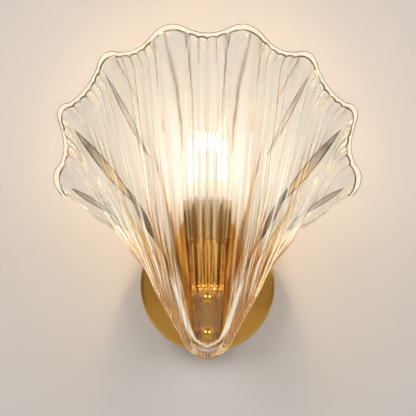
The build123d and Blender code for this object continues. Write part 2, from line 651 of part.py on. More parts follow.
def bulb_stem():
    """Glass stem with the two spiders that hold the filaments."""
    low = glass_foot()
    axis = (0, -LAMP_DEPTH)
    spider = low + STEM_HEIGHT
    top = spider + SPIDER_THICK + FILAMENT_LENGTH
    stem = rod(STEM_RADIUS, (*axis, low), (*axis, spider))
    stem += rod(FILAMENT_CIRCLE + FILAMENT_RADIUS, (*axis, spider), (*axis, spider + SPIDER_THICK))
    stem += rod(STEM_ROD, (*axis, spider), (*axis, top))
    return stem + rod(FILAMENT_CIRCLE + FILAMENT_RADIUS, (*axis, top), (*axis, top + SPIDER_THICK))


def bulb_filaments():
    """Glowing rods between the spiders."""
    low = glass_foot() + STEM_HEIGHT + SPIDER_THICK
    rods = []
    for k in range(FILAMENTS):
        a = 2 * pi * (k + 0.5) / FILAMENTS
        x, y = FILAMENT_CIRCLE * cos(a), FILAMENT_CIRCLE * sin(a) - LAMP_DEPTH
        rods.append(rod(FILAMENT_RADIUS, (x, y, low), (x, y, low + FILAMENT_LENGTH)))
    return Compound(rods)


node(crossbar(), "wall_crossbar")
node(canopy(), "canopy")
node(canopy_side_screws(), "canopy_side_screws")
node(earth_screw(), "earth_screw")
node(terminal_block(), "terminal_block")
node(lamp_leads(), "lamp_leads")
node(glass_bracket(), "glass_bracket")
node(flange_screws(), "flange_screws")
node(glass_studs(), "glass_studs")
node(stud_nuts(), "stud_nuts")
node(back_pad(), "back_pad")
node(glass_sleeves(), "glass_sleeves")
node(shell_glass(), "shell_glass")
node(front_washers(), "front_washers")
node(ball_nut(nut_heights()[0]), "lower_ball_nut")
node(ball_nut(nut_heights()[1]), "upper_ball_nut")
node(arm_tube(), "arm_tube")
node(arm_collar(), "arm_collar")
node(arm_locknut(), "arm_locknut")
node(cup_collar(), "cup_collar")
node(lamp_cup(), "lamp_cup")
node(lamp_holder(), "lamp_holder")
node(holder_sleeve(), "holder_sleeve")
node(holder_contact(), "holder_contact")
node(bulb_cap(), "bulb_cap")
node(bulb_tip(), "bulb_tip")
node(bulb_glass(), "bulb_glass")
node(bulb_stem(), "bulb_stem")
node(bulb_filaments(), "bulb_filaments")
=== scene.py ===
# %% [markdown]
# A wall light in the form of a fluted glass shell.
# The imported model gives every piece's true size and place.  This lesson dresses it:
# fine glass, brushed and polished brass, a lit candle bulb, a wall and soft light.

# %% Load the frame
from math import atan2, cos, exp, pi, radians, sin

import bmesh
import bpy
from mathutils import Matrix, Vector, noise


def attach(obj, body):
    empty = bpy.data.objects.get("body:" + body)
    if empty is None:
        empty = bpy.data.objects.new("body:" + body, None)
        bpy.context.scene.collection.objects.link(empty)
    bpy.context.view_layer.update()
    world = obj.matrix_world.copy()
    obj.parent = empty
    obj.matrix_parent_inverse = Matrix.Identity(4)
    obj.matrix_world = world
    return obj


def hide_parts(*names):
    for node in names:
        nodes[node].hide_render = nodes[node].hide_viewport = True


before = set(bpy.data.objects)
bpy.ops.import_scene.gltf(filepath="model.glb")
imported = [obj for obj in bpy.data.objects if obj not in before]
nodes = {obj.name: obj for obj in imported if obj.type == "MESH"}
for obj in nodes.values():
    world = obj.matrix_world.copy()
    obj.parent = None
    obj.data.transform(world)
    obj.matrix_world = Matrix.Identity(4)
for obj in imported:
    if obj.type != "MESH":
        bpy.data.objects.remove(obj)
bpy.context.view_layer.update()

MM = 0.001
WHITE = (1, 1, 1, 1)
scene = bpy.context.scene

# %% [markdown]
# The camera comes first, because every later choice is judged through it.
# The photograph is taken straight from the front with a long lens, so it stands
# 1.5 m off the wall and a little above the canopy, level and square to the wall.

# %% Camera
CAMERA_DISTANCE = 1.5
CAMERA_HEIGHT = 68.6 * MM
CAMERA_ASIDE = 0.4 * MM
SENSOR = 36.0
LENS = 143.4

camera = bpy.data.objects.new("camera", bpy.data.cameras.new("camera"))
camera.data.sensor_width = SENSOR
camera.data.lens = LENS
camera.location = (CAMERA_ASIDE, -CAMERA_DISTANCE, CAMERA_HEIGHT)
camera.rotation_euler = (pi / 2, 0, 0)
scene.collection.objects.link(camera)
scene.camera = camera
print("camera lens", LENS, "mm")

# %% [markdown]
# A new piece is a bmesh that becomes an object at the origin, with its place in its
# mesh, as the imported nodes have.

# %% Helper for pieces
def finish_piece(name, bm, material, body, replaced, sharp):
    """Turn a bmesh into a piece that rides on a body, wears a material and stands in for nodes."""
    mesh = bpy.data.meshes.new(name)
    bm.to_mesh(mesh)
    bm.free()
    for face in mesh.polygons:
        face.use_smooth = True
    mesh.set_sharp_from_angle(angle=radians(sharp))
    piece = bpy.data.objects.new(name, mesh)
    scene.collection.objects.link(piece)
    mesh.materials.append(material)
    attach(piece, body)
    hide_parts(*replaced)
    print(name, len(mesh.polygons), "faces")


# %% [markdown]
# A material is a small group of shader nodes.  These helpers make nodes, join them and
# blend what they give, so that each material below reads as one short piece of text.

# %% Helpers for materials
def inside(material):
    """A material's node tree and its main shader."""
    tree = material.node_tree
    return tree, tree.nodes["Principled BSDF"]


def feed(tree, socket, source):
    """Give a socket a plain value, or link it to another node's output."""
    if isinstance(source, bpy.types.NodeSocket):
        tree.links.new(source, socket)
    else:
        socket.default_value = source


def new_material(name, **sockets):
    """A material with its shader's sockets set by name."""
    material = bpy.data.materials.new(name)
    material.use_nodes = True
    tree, shader = inside(material)
    for socket, value in sockets.items():
        feed(tree, shader.inputs[socket.replace("_", " ")], value)
    return material


def add_node(tree, kind, **inputs):
    """A shader node; each input, given by name, is a value or another node's output."""
    node = tree.nodes.new(kind)
    for socket, source in inputs.items():
        feed(tree, node.inputs[socket.replace("_", " ")], source)
    return node


def object_place(tree):
    """Where a point lies in the piece."""
    return add_node(tree, "ShaderNodeTexCoord").outputs["Object"]


def attribute(tree, name):
    """The node that reads one of the mesh's own attributes."""
    node = add_node(tree, "ShaderNodeAttribute")
    node.attribute_name = name
    return node


def arithmetic(tree, operation, *sources):
    """One step of arithmetic on numbers."""
    step = add_node(tree, "ShaderNodeMath")
    step.operation = operation
    for socket, source in zip(step.inputs, sources):
        feed(tree, socket, source)
    return step.outputs["Value"]


def product(tree, first, second):
    """Two colours multiplied."""
    times = add_node(tree, "ShaderNodeVectorMath")
    times.operation = "MULTIPLY"
    feed(tree, times.inputs[0], first)
    feed(tree, times.inputs[1], second)
    return times.outputs["Vector"]


def blend_colours(tree, share, first, second):
    """The first colour, which gives way to the second as the share goes from 0 to 1."""
    mix = add_node(tree, "ShaderNodeMix")
    mix.data_type = "RGBA"
    for name, source in (("Factor", share), ("A", first), ("B", second)):
        feed(tree, mix.inputs[name], source)
    return mix.outputs["Result"]


def blend_shaders(tree, share, first, second):
    """The first shader, which gives way to the second as the share goes from 0 to 1."""
    mix = add_node(tree, "ShaderNodeMixShader")
    for socket, source in zip(mix.inputs, (share, first, second)):
        feed(tree, socket, source)
    return mix.outputs["Shader"]


def colour_ramp(tree, place, spots):
    """Colours laid along a number; each spot is a position and a colour."""
    ramp = add_node(tree, "ShaderNodeValToRGB", Fac=place)
    elements = ramp.color_ramp.elements
    elements.remove(elements[1])
    elements[0].position, elements[0].color = spots[0]
    for position, colour in spots[1:]:
        elements.new(position).color = colour
    return ramp.outputs["Color"]


def see_through(material, share, tint=WHITE):
    """A material's shader, which lets rays straight through by a share."""
    tree, shader = inside(material)
    clear = add_node(tree, "ShaderNodeBsdfTransparent", Color=tint)
    return blend_shaders(tree, share, shader.outputs["BSDF"], clear.outputs["BSDF"])


def without_shadow(material, tint):
    """Glass that throws no dark shadow: only shadow rays go straight through it."""
    tree, _ = inside(material)
    path = add_node(tree, "ShaderNodeLightPath")
    return see_through(material, path.outputs["Is Shadow Ray"], tint)


def set_surface(material, surface):
    """Show a shader's output on the material's surface."""
    tree, _ = inside(material)
    feed(tree, tree.nodes["Material Output"].inputs["Surface"], surface)


# %% [markdown]
# The shell is clear glass that darkens to amber with depth.  Real fluted glass also shows
# bent images of its room, and this room isn't known.  So light, shade and reflections are
# painted on the glass: a painted cream glow on the rim with painted dark outlines, painted
# streaks and folded reflections that darken it, and painted light from the bulb.

# %% The rim of the glass, with painted glow and painted dark lines
PAINTED_RIM_GLOW = (1.0, 0.87, 0.68, 1)
EDGE_STRENGTH = 1.08
EDGE_SHARE = 0.85
PAINTED_EDGE_DARK = (0.06, 0.03, 0.01, 1)
LINE_NOISE_SCALE = 90.0
LINE_NOISE_DETAIL = 2.0
LINE_NOISE_FROM = 0.40
LINE_NOISE_FULL = 0.52
LINE_FAINTEST = 0.15
LINE_DARKEST = 1.0


def painted_rim_glow(tree, surface):
    """The flat of the rim glows with painted light, an emission that stands for the light that runs up inside
    the glass.
    """
    cream = add_node(tree, "ShaderNodeEmission", Color=PAINTED_RIM_GLOW, Strength=EDGE_STRENGTH)
    share = arithmetic(tree, "MULTIPLY", attribute(tree, "edge_glow").outputs["Fac"], EDGE_SHARE)
    return blend_shaders(tree, share, surface, cream.outputs["Emission"])


def painted_dark_outlines(tree, surface):
    """The rounded edges of the rim are painted dark lines, which stand for the dark reflections in them;
    noise makes them faint here and there.
    """
    dark = add_node(tree, "ShaderNodeEmission", Color=PAINTED_EDGE_DARK, Strength=1.0)
    breaks = add_node(tree, "ShaderNodeTexNoise", Vector=object_place(tree),
                      Scale=LINE_NOISE_SCALE, Detail=LINE_NOISE_DETAIL)
    strength = add_node(tree, "ShaderNodeMapRange", Value=breaks.outputs["Fac"],
                        From_Min=LINE_NOISE_FROM, From_Max=LINE_NOISE_FULL,
                        To_Min=LINE_FAINTEST, To_Max=LINE_DARKEST)
    line = attribute(tree, "edge_line").outputs["Fac"]
    share = arithmetic(tree, "MULTIPLY", line, strength.outputs["Result"])
    return blend_shaders(tree, share, surface, dark.outputs["Emission"])


# %% Painted light caught from the bulb
PAINTED_SHINE_CREAM = (1.0, 0.92, 0.76, 1)
SHINE_STRENGTH = 1.08


def painted_shine(tree, surface):
    """The glass shines with painted light, an emission, where its "shine" attribute says that it catches
    light.
    """
    cream = add_node(tree, "ShaderNodeEmission", Color=PAINTED_SHINE_CREAM, Strength=SHINE_STRENGTH)
    share = attribute(tree, "shine").outputs["Fac"]
    return blend_shaders(tree, share, surface, cream.outputs["Emission"])


# %% Painted folded reflections of the room
# Each is a pointed patch: its two ends (distance from the middle, height) and half width
# in mm, and its colours from end to end.  Each one also shows mirrored.
FOLD_CLEAR = (1.0, 1.0, 1.0)
FOLD_PALE = (0.85, 0.78, 0.70)
FOLD_GREY = (0.34, 0.28, 0.20)
FOLD_BROWN = (0.06, 0.03, 0.01)
FOLD_AMBER = (0.90, 0.52, 0.16)
FOLDED_REFLECTIONS = (
    ((87.0, 183.0), (49.0, 110.0), 2.7, (FOLD_PALE, FOLD_GREY, FOLD_PALE, FOLD_GREY, FOLD_BROWN)),
    ((116.0, 138.0), (59.0, 69.0), 4.8,
     (FOLD_PALE, FOLD_BROWN, FOLD_GREY, FOLD_AMBER, FOLD_AMBER, FOLD_GREY)),
    ((70.0, 88.0), (40.0, 33.0), 3.3, (FOLD_GREY, FOLD_GREY, FOLD_BROWN, FOLD_BROWN, FOLD_BROWN)),
    ((119.0, 86.5), (82.0, 63.0), 2.9, (FOLD_GREY, FOLD_GREY, FOLD_PALE)),
    ((88.0, 66.5), (68.0, 48.0), 2.5, (FOLD_PALE, FOLD_CLEAR, FOLD_PALE)))
FOLD_REACH = 0.9        # how far from its middle towards its ends the colours go
FOLD_EDGE = 0.9         # where it ends, from its middle line outwards
FOLD_LINE = (0.05, 0.03, 0.015, 1)
FOLD_OUTLINE = ((0.55, WHITE), (0.7, FOLD_LINE), (0.84, FOLD_LINE), (0.97, WHITE))


def front_place(tree):
    """Where a point lies as seen from the front, with the left half laid over the right."""
    parts = add_node(tree, "ShaderNodeSeparateXYZ", Vector=object_place(tree))
    aside = arithmetic(tree, "ABSOLUTE", parts.outputs["X"])
    flat = add_node(tree, "ShaderNodeCombineXYZ", X=aside, Z=parts.outputs["Z"])
    return flat.outputs["Vector"]


def place_in_patch(tree, place, start, end, half):
    """A point's place in a patch: -1 to 1 from end to end, and 0 to 1 from its middle line outwards."""
    start = Vector((start[0], 0, start[1])) * MM
    end = Vector((end[0], 0, end[1])) * MM
    way = end - start
    local = add_node(tree, "ShaderNodeMapping", Vector=place, Location=(start + end) / 2,
                     Rotation=(0, atan2(-way.z, way.x), 0), Scale=(way.length / 2, 1.0, half * MM))
    local.vector_type = "TEXTURE"
    parts = add_node(tree, "ShaderNodeSeparateXYZ", Vector=local.outputs["Vector"])
    lengthwise = parts.outputs["X"]
    across = arithmetic(tree, "ABSOLUTE", parts.outputs["Z"])
    return lengthwise, arithmetic(tree, "ADD", across, arithmetic(tree, "MULTIPLY", lengthwise, lengthwise))


def painted_fold_reflection(tree, place, start, end, half, colours):
    """A painted reflection: a long pointed patch with dark outlines, as bent glass shows the room beside it.
    """
    lengthwise, outwards = place_in_patch(tree, place, start, end, half)
    reach = add_node(tree, "ShaderNodeMapRange", Value=lengthwise, From_Min=-FOLD_REACH, From_Max=FOLD_REACH)
    last = len(colours) - 1
    spots = [(i / last, (*colour, 1)) for i, colour in enumerate(colours)]
    picture = colour_ramp(tree, reach.outputs["Result"], spots)
    beyond = arithmetic(tree, "GREATER_THAN", outwards, FOLD_EDGE)
    picture = blend_colours(tree, beyond, picture, WHITE)
    return product(tree, picture, colour_ramp(tree, outwards, FOLD_OUTLINE))


def painted_streaks_and_reflections(tree):
    """The painted streaks' colour, times the painted folded reflections on the room side, where the alpha is
    0.
    """
    stored = attribute(tree, "streaks")
    place = front_place(tree)
    images = FOLD_CLEAR
    for fold in FOLDED_REFLECTIONS:
        images = product(tree, images, painted_fold_reflection(tree, place, *fold))
    images = blend_colours(tree, stored.outputs["Alpha"], images, WHITE)
    return product(tree, stored.outputs["Color"], images)


# %% Glass
CLEAR_TINT = (0.97, 0.96, 0.94, 1)
DEPTH_TINT = (0.85, 0.72, 0.38, 1)
DEPTH_DENSITY = 10.0

glass = new_material("clear_glass", Base_Color=(1.0, 0.99, 0.97, 1), Roughness=0.0,
                     Transmission_Weight=1.0, IOR=1.5)
tree, shader = inside(glass)
depth = add_node(tree, "ShaderNodeVolumeAbsorption", Color=DEPTH_TINT, Density=DEPTH_DENSITY)
feed(tree, tree.nodes["Material Output"].inputs["Volume"], depth.outputs["Volume"])
# The base colour carries the painted streaks and folded reflections, and the looks laid on the surface are
# painted glow, painted dark lines and painted light.
feed(tree, shader.inputs["Base Color"], painted_streaks_and_reflections(tree))
surface = without_shadow(glass, CLEAR_TINT)
for look in (painted_rim_glow, painted_dark_outlines, painted_shine):
    surface = look(tree, surface)
set_surface(glass, surface)

bulb_clear = new_material("bulb_clear", Base_Color=WHITE, Roughness=0.0, Transmission_Weight=1.0, IOR=1.45)
set_surface(bulb_clear, without_shadow(bulb_clear, (0.98, 0.98, 0.98, 1)))

# %% [markdown]
# Brass is one colour with little relief.  Its roughness wavers a little, like an old
# lacquer, and turned brass draws its reflections out across the grain.

# %% Brass
GRAIN_TURN = 0.25       # a quarter turn, so that reflections stretch across the grain
CLOUD_SCALE = 25.0
CLOUD_FROM = 0.3
CLOUD_TO = 0.7
CLOUD_DEPTH = 0.05      # how far the roughness goes up and down, as a share of it


def brass(name, colour, roughness, drawn_out=0.0):
    """Lacquered brass; drawn_out is how far its reflections stretch across the grain."""
    material = new_material(name, Base_Color=colour, Metallic=1.0, Roughness=roughness,
                            Anisotropic=drawn_out, Anisotropic_Rotation=GRAIN_TURN)
    tree, shader = inside(material)
    cloud = add_node(tree, "ShaderNodeTexNoise", Vector=object_place(tree), Scale=CLOUD_SCALE, Detail=1.0)
    spread = add_node(tree, "ShaderNodeMapRange", Value=cloud.outputs["Fac"],
                      From_Min=CLOUD_FROM, From_Max=CLOUD_TO,
                      To_Min=roughness * (1 - CLOUD_DEPTH), To_Max=roughness * (1 + CLOUD_DEPTH))
    feed(tree, shader.inputs["Roughness"], spread.outputs["Result"])
    return material


polished = brass("polished_brass", (1.0, 0.63, 0.17, 1), 0.2)
# The ball nuts' brass is darker than the polished brass: painted shade.
ball = brass("ball_brass", (0.72, 0.42, 0.09, 1), 0.30)
satin = brass("satin_brass", (0.86, 0.60, 0.26, 1), 0.30)
turned = brass("turned_brass", (0.76, 0.45, 0.11, 1), 0.32, drawn_out=0.95)
contact = brass("contact_brass", (0.72, 0.53, 0.25, 1), 0.3)

# %% Grain round the canopy's axis
tree, shader = inside(turned)
around = add_node(tree, "ShaderNodeTangent")
around.direction_type = "RADIAL"
around.axis = "Y"
feed(tree, shader.inputs["Tangent"], around.outputs["Tangent"])

# %% Steel and mouldings
zinc = new_material("zinc_steel", Base_Color=(0.62, 0.63, 0.64, 1), Metallic=1.0, Roughness=0.34)
nickel = new_material("cap_nickel", Base_Color=(0.7, 0.69, 0.65, 1), Metallic=1.0, Roughness=0.25)
white_moulding = new_material("white_moulding", Base_Color=(0.8, 0.79, 0.76, 1), Roughness=0.45)
dark_moulding = new_material("dark_moulding", Base_Color=(0.03, 0.027, 0.025, 1), Roughness=0.5)
sleeving = new_material("lead_sleeving", Base_Color=(0.72, 0.7, 0.64, 1), Roughness=0.7)

# %% Clear rubber
SILICONE_CLEARNESS = 0.96
silicone = new_material("clear_silicone", Base_Color=(0.95, 0.93, 0.9, 1), Roughness=0.1)
set_surface(silicone, see_through(silicone, SILICONE_CLEARNESS, CLEAR_TINT))

# %% Glowing filament
FILAMENT_GLOW = 30.0
filament = new_material("glowing_filament", Base_Color=(1.0, 0.85, 0.6, 1), Roughness=0.5,
                        Emission_Color=(1.0, 0.78, 0.5, 1), Emission_Strength=FILAMENT_GLOW)

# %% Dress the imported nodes
finishes = {
    "canopy": turned, "canopy_side_screws": polished, "wall_crossbar": zinc, "earth_screw": zinc,
    "terminal_block": white_moulding, "lamp_leads": sleeving, "glass_bracket": polished,
    "flange_screws": zinc, "glass_studs": zinc, "stud_nuts": polished, "back_pad": silicone,
    "glass_sleeves": silicone, "front_washers": silicone, "lower_ball_nut": ball,
    "upper_ball_nut": ball, "arm_tube": satin, "arm_collar": satin, "arm_locknut": zinc,
    "cup_collar": satin, "lamp_cup": satin, "lamp_holder": dark_moulding, "holder_sleeve": contact,
    "holder_contact": contact, "bulb_cap": nickel, "bulb_tip": nickel, "bulb_glass": bulb_clear,
    "bulb_stem": bulb_clear, "bulb_filaments": filament}
for name, material in finishes.items():
    mesh = nodes[name].data
    mesh.materials.clear()
    mesh.materials.append(material)
print("dressed", len(finishes), "nodes")

# %% [markdown]
# The shell.  On the real thing molten glass is pressed between two moulds, so both
# faces follow one surface: broad lobes on both sides, and fine flutes on the room side.
# The surface is a formula of two numbers, the angle across the fan and the way up
# from foot to rim.  A grid from the create_grid operator is bent to it.  Angles are in
# degrees from the middle.  A pair named FADE, EDGE or ANGLES holds the two values
# between which something fades in or out: FADE counts the way up, from 0 to 1.

# %% The shell's middle surface
GLASS_WALL = 6.4 * MM
GLASS_WALL_RIM = 6.2 * MM
GLASS_SEAT_WALL = 6.0 * MM      # left between the two seats in the foot
LOW_SPREAD = 0.33               # widens the middle flutes low down
LOW_SPREAD_FADE = (0.25, 1.0)
LOW_SQUARE = 0.3                # squares the section low down, for a flat front; 1 is an ellipse
LOW_SQUARE_FADE = (0.3, 0.8)
RIM_SQUARE = 0.88               # squares the rim as seen from the front
RIM_SQUARE_FADE = (0.6, 1.0)
RIM_TUCK = 0.077                # draws in the outermost lobes at the rim
RIM_TUCK_ANGLES = (65, 90)
SEAT_FRONT = 91.0 * MM          # how far the front seats are from the wall
PAD_DEPTH = SEAT_FRONT - GLASS_SEAT_WALL / 2
FOOT_HEIGHT = -59.5 * MM
MIDDLE_FORWARD = (-40, -17.2, -2.2, 0, 0, 0.5, 1.5, 4, 9.5, 21, 43)
MIDDLE_RISE = (0.3, 0.3, 4.5, 15, 41, 79, 124, 175, 226, 258.7, 274.6)
SIDE_RISE = (9.5, 19, 32.1, 48, 64.7, 81.9, 97.6, 111.5, 123.8, 135.6, 143.3)
MIDDLE_DEPTH = [PAD_DEPTH + d * MM for d in MIDDLE_FORWARD]
MIDDLE_HEIGHT = [FOOT_HEIGHT + h * MM for h in MIDDLE_RISE]
SIDE_WIDTH = [w * MM for w in (14, 17.3, 23.6, 30.5, 41.2, 53.2, 69.3, 85.5, 104.5, 119.6, 131.9)]
SIDE_DEPTH = [d * MM for d in (47, 46, 45, 44, 43, 43, 45, 49, 55, 66, 86)]
SIDE_HEIGHT = [FOOT_HEIGHT + h * MM for h in SIDE_RISE]
ANGLE_STEP = 0.2                # to both sides, to find the surface's slope
WAY_STEP = 0.002


def along(values, t):
    """Smooth curve through evenly spaced values, at t from 0 to 1."""
    last = len(values) - 1
    place = min(max(t, 0.0), 1.0) * last
    i = min(int(place), last - 1)
    u = place - i
    before = values[i - 1] if i > 0 else 2 * values[0] - values[1]
    after = values[i + 2] if i + 2 <= last else 2 * values[last] - values[last - 1]
    slope_a = (values[i + 1] - before) / 2
    slope_b = (after - values[i]) / 2
    rise = values[i + 1] - values[i]
    return (values[i] + u * slope_a
            + u * u * (3 * rise - 2 * slope_a - slope_b)
            + u ** 3 * (slope_a + slope_b - 2 * rise))


def fade(value, low, high):
    """0 below low, 1 above high, smooth between."""
    u = min(max((value - low) / (high - low), 0.0), 1.0)
    return u * u * (3 - 2 * u)


def middle_surface(angle, t):
    """A point halfway through the glass: angle across the fan, t from foot to rim."""
    a = radians(angle)
    a += LOW_SPREAD * (1 - fade(t, *LOW_SPREAD_FADE)) * sin(2 * a)
    width = along(SIDE_WIDTH, t) * (1 - RIM_TUCK * fade(abs(angle), *RIM_TUCK_ANGLES) * t)
    flat_front = forward = cos(a)
    if forward > 0:
        flat_front = forward ** (LOW_SQUARE + (1 - LOW_SQUARE) * fade(t, *LOW_SQUARE_FADE))
        forward **= 1 + (RIM_SQUARE - 1) * fade(t, *RIM_SQUARE_FADE)
    depth = along(SIDE_DEPTH, t) + (along(MIDDLE_DEPTH, t) - along(SIDE_DEPTH, t)) * flat_front
    height = along(SIDE_HEIGHT, t) + (along(MIDDLE_HEIGHT, t) - along(SIDE_HEIGHT, t)) * forward
    return Vector((width * sin(a), -depth, height))


def directions(angle, t):
    """At one point of the middle surface: its unit normal on the hollow side, and the way to the rim."""
    across = middle_surface(angle + ANGLE_STEP, t) - middle_surface(angle - ANGLE_STEP, t)
    up = middle_surface(angle, min(t + WAY_STEP, 1.0)) - middle_surface(angle, max(t - WAY_STEP, 0.0))
    return up.cross(across).normalized(), up.normalized()


# %% Lobes and flutes
LOBE_CRESTS = (14.0, 38.7, 64.4, 87.5)
LOBE_HALVES = (6.8, 5.0, 4.3, 4.9)
LOBE_RISE = 7.7 * MM            # at the rim, above the lobe's corners
LOBE_SQUARE = 2.3               # how square a lobe is low down; 2 is a parabola
LOBE_SQUARE_FADE = (0.75, 0.95)
LOBES_BEGIN = 0.12
LOBES_FULL = 0.6
LOBE_POWER = 0.3                # how closely the lobes' height follows the width
SIDE_POWER = 0.8                # the same for the outermost lobes
SIDE_ANGLES = (65, 85)
VALLEY_SAG = 6.3 * MM           # at the rim, below the lobe's corners
FLUTE_PITCH = 3.3
FLUTE_DEPTH = 2.0 * MM
FLUTE_ROUND = 0.6               # below 1 the flutes are round and the crests between them fine
FLUTE_POWER = 0.45              # how closely the flutes' depth follows the width
HOLLOW_SHARE = 0.15             # share of the lobes' height that shows on the hollow side low down
HOLLOW_FADE = (0.55, 0.97)
RIM_SLANT = 0.3                 # turns the rim's end towards the room, as a share of the wall
RIM_SLANT_FADE = (0.9, 1.0)
TINY = 1e-9


def ribs():
    """(first angle, last angle, number of flutes) of each lobe and valley; a lobe has none."""
    crests = [-c for c in reversed(LOBE_CRESTS)] + list(LOBE_CRESTS)
    halves = list(reversed(LOBE_HALVES)) + list(LOBE_HALVES)
    spans = []
    for i, (crest, half) in enumerate(zip(crests, halves)):
        spans.append((crest - half, crest + half, 0))
        if i + 1 < len(crests):
            start, end = crest + half, crests[i + 1] - halves[i + 1]
            spans.append((start, end, round((end - start) / FLUTE_PITCH)))
    return spans


RIBS = ribs()
print("lobes and valleys:", len(RIBS), " flutes:", sum(count for _, _, count in RIBS))


def rib_at(angle):
    """The lobe or valley that an angle lies in."""
    return next((rib for rib in RIBS if angle <= rib[1] + TINY), RIBS[-1])


def corrugation(angle, t):
    """At one angle: the lobe's or valley's height at the rim, and how deep the flute bites."""
    start, end, flutes = rib_at(angle)
    u = (angle - (start + end) / 2) / ((end - start) / 2)
    square = LOBE_SQUARE + (2 - LOBE_SQUARE) * fade(t, *LOBE_SQUARE_FADE)
    bump = max(0.0, 1 - abs(u) ** (2 if flutes else square))
    if flutes:
        across = (flutes * (u + 1) / 2) % 1.0
        return -VALLEY_SAG * bump, FLUTE_DEPTH * (4 * across * (1 - across)) ** FLUTE_ROUND
    return LOBE_RISE * bump, 0.0


def glass_skin(angle, t, side):
    """A point on the room side (-1) or the hollow side (+1) of the glass."""
    wave, flute = corrugation(angle, t if side < 0 else 1.0)
    width = along(SIDE_WIDTH, t) / SIDE_WIDTH[-1]
    wall = GLASS_WALL + (GLASS_WALL_RIM - GLASS_WALL) * t
    if side > 0:
        wave *= HOLLOW_SHARE + (1 - HOLLOW_SHARE) * fade(t, *HOLLOW_FADE)
    power = LOBE_POWER + (SIDE_POWER - LOBE_POWER) * fade(abs(angle), *SIDE_ANGLES)
    offset = wave * fade(t, LOBES_BEGIN, LOBES_FULL) * width ** power + side * wall / 2
    if side < 0:
        offset += flute * fade(t, LOBES_BEGIN, 2 * LOBES_BEGIN) * width ** FLUTE_POWER
    normal, up = directions(angle, t)
    point = middle_surface(angle, t) + normal * offset
    if side > 0:
        point += up * RIM_SLANT * wall * fade(t, *RIM_SLANT_FADE)
    return point


# %% [markdown]
# The looks that are laid on the room side are worked out point by point and stored in
# the mesh.  A line on the glass is a row of points (angle, way up, half width in mm).
# It is followed as seen from the front, and shows on both halves of the shell.

# %% Lines on the glass
FAR = 9.0


def seen(point):
    """A point as seen from the front, with the left half laid over the right."""
    return Vector((abs(point.x), point.z))


def flat_path(line):
    """A line's points as seen from the front, each with its half width."""
    return [(seen(glass_skin(angle, t, -1)), half * MM) for angle, t, half, *_ in line]


def nearest(path, place):
    """How far a place is from a line, over its half width there, and which part of it is nearest."""
    best = (FAR, 0, 0.0)
    for i, ((a, half_a), (b, half_b)) in enumerate(zip(path, path[1:])):
        step = b - a
        u = min(max((place - a).dot(step) / step.length_squared, 0.0), 1.0)
        away = (place - a - step * u).length / (half_a + (half_b - half_a) * u)
        best = min(best, (away, i, u))
    return best


# %% Noise drawn along the glass, which shapes the painted lines and light
# Each layer is (strength, how much finer than the pitch, changes up the glass, seed).
FINE_PITCH = 0.75
FINE_LINE_NOISE = ((1.0, 1.0, 5.0, 1.0), (0.5, 2.3, 7.0, 8.0))
SHINE_NOISE = ((1.0, 1.7, 3.0, 20.0), (0.6, 0.5, 2.0, 30.0))
RIDGE_NOISE = ((0.8, 0.525, 3.0, 4.0),)


def drawn_noise(angle, t, layers):
    """Noise that is drawn out along the glass, from foot to rim."""
    return sum(strength * noise.noise((finer * angle / FINE_PITCH, t * changes, seed))
               for strength, finer, changes, seed in layers)


# %% Painted streaks
# The streaks are painted reflections, dark ones and amber ones.  Each point of a streak also has the colour
# that the streak takes away.
GREY = (0.42, 0.50, 0.61)
BROWN = (0.52, 0.70, 0.88)
DARK = (0.84, 0.91, 0.97)
AMBER = (0.08, 0.34, 0.80)
PAINTED_STREAKS = (
    ((15.5, 0.99, 0.4, GREY), (14.5, 0.87, 1.8, GREY), (13.0, 0.815, 1.6, GREY), (12.0, 0.755, 0.9, BROWN),
     (11.6, 0.70, 0.3, AMBER)),
    ((8.0, 0.99, 0.9, DARK), (7.5, 0.92, 0.7, DARK), (7.0, 0.86, 0.6, BROWN), (6.3, 0.79, 0.5, GREY),
     (6.0, 0.72, 0.3, AMBER)),
    ((35.5, 0.99, 0.6, BROWN), (34.0, 0.90, 0.5, BROWN), (29.5, 0.815, 0.4, AMBER)),
    ((20.0, 0.99, 0.8, GREY), (20.6, 0.90, 0.7, GREY), (20.4, 0.80, 0.5, GREY), (20.0, 0.74, 0.3, AMBER)),
    ((23.0, 0.70, 0.4, AMBER), (22.0, 0.64, 1.2, AMBER), (20.0, 0.585, 2.2, BROWN), (19.5, 0.535, 3.0, BROWN),
     (19.0, 0.47, 2.0, AMBER)),
    ((37.0, 0.68, 0.3, AMBER), (33.5, 0.615, 0.9, BROWN), (29.5, 0.56, 1.0, AMBER), (26.5, 0.51, 1.2, BROWN),
     (23.5, 0.455, 1.0, AMBER)),
    ((53.0, 0.685, 0.4, AMBER), (47.0, 0.615, 1.4, AMBER), (43.0, 0.55, 1.0, AMBER),
     (36.0, 0.49, 0.6, BROWN)),
    ((25.5, 0.74, 0.3, AMBER), (24.0, 0.69, 0.8, BROWN), (23.0, 0.66, 0.4, AMBER)),
    ((15.5, 0.62, 0.4, AMBER), (15.5, 0.57, 1.6, BROWN), (15.0, 0.42, 1.2, AMBER)),
    ((12.3, 0.615, 0.3, DARK), (12.3, 0.60, 1.5, DARK), (11.8, 0.45, 1.0, BROWN)),
    ((9.9, 0.62, 0.3, DARK), (9.9, 0.60, 0.8, DARK), (9.4, 0.45, 0.5, BROWN)),
    ((7.0, 0.62, 0.4, DARK), (7.0, 0.60, 2.2, BROWN), (6.8, 0.45, 1.4, DARK)),
    ((2.0, 0.62, 0.3, BROWN), (2.0, 0.60, 0.7, BROWN), (2.0, 0.45, 0.5, BROWN)),
    ((0.0, 0.64, 0.3, GREY), (0.0, 0.60, 0.7, GREY), (0.0, 0.45, 0.5, GREY)))
STREAK_EDGE = (0.2, 1.6)
STREAK_PATHS = [(flat_path(line), [Vector(colour) for *_, colour in line]) for line in PAINTED_STREAKS]
